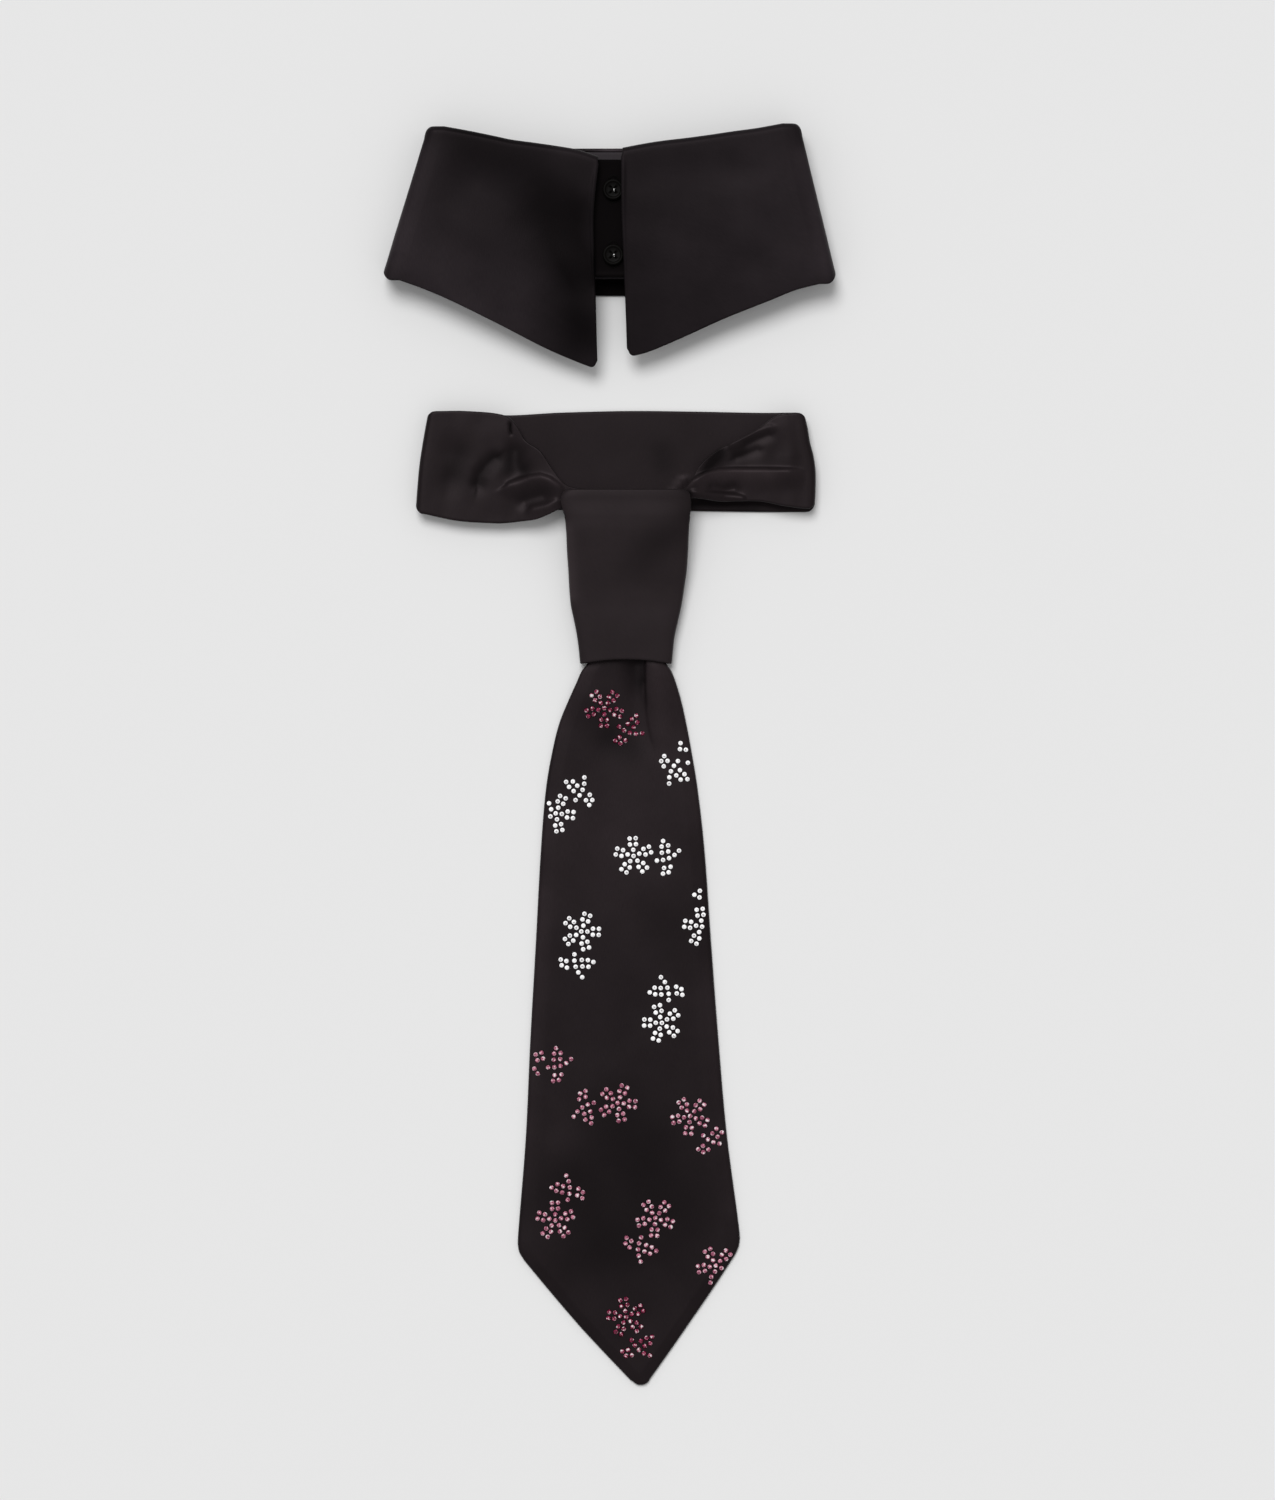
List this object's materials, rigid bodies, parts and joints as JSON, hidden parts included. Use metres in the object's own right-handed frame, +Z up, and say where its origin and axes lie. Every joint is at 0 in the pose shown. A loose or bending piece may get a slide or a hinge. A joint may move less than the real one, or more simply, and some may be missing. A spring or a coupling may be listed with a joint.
{
  "type": "bib collar necktie",
  "caption": "Detachable pointed shirt collar with a buttoned stand, and a ready-made black satin tie on its own neck band, with stone-studded motifs on the blade.",
  "frame": {"origin": "middle of the rectangle that collar and tie cover together, on the surface that they lie on", "axes": "+Z up, away from the table; +Y from the tie's tip towards the top of the collar; +X to the right as seen from above"},
  "size_m": [0.217, 0.605, 0.0188],
  "materials": {
    "collar_cloth": "soft matt satin",
    "tie_satin": "soft satin sheen",
    "button_resin": "semi-gloss",
    "sewing_thread": "matt"
  },
  "bodies": {
    "root": {"collar_fall": "collar_cloth", "collar_stand": "collar_cloth", "button_upper": "button_resin", "button_lower": "button_resin", "button_thread_upper": "sewing_thread", "button_thread_lower": "sewing_thread", "neck_band": "tie_satin", "tie_knot": "tie_satin", "tie_blade": "tie_satin"}
  },
  "joints": []
}
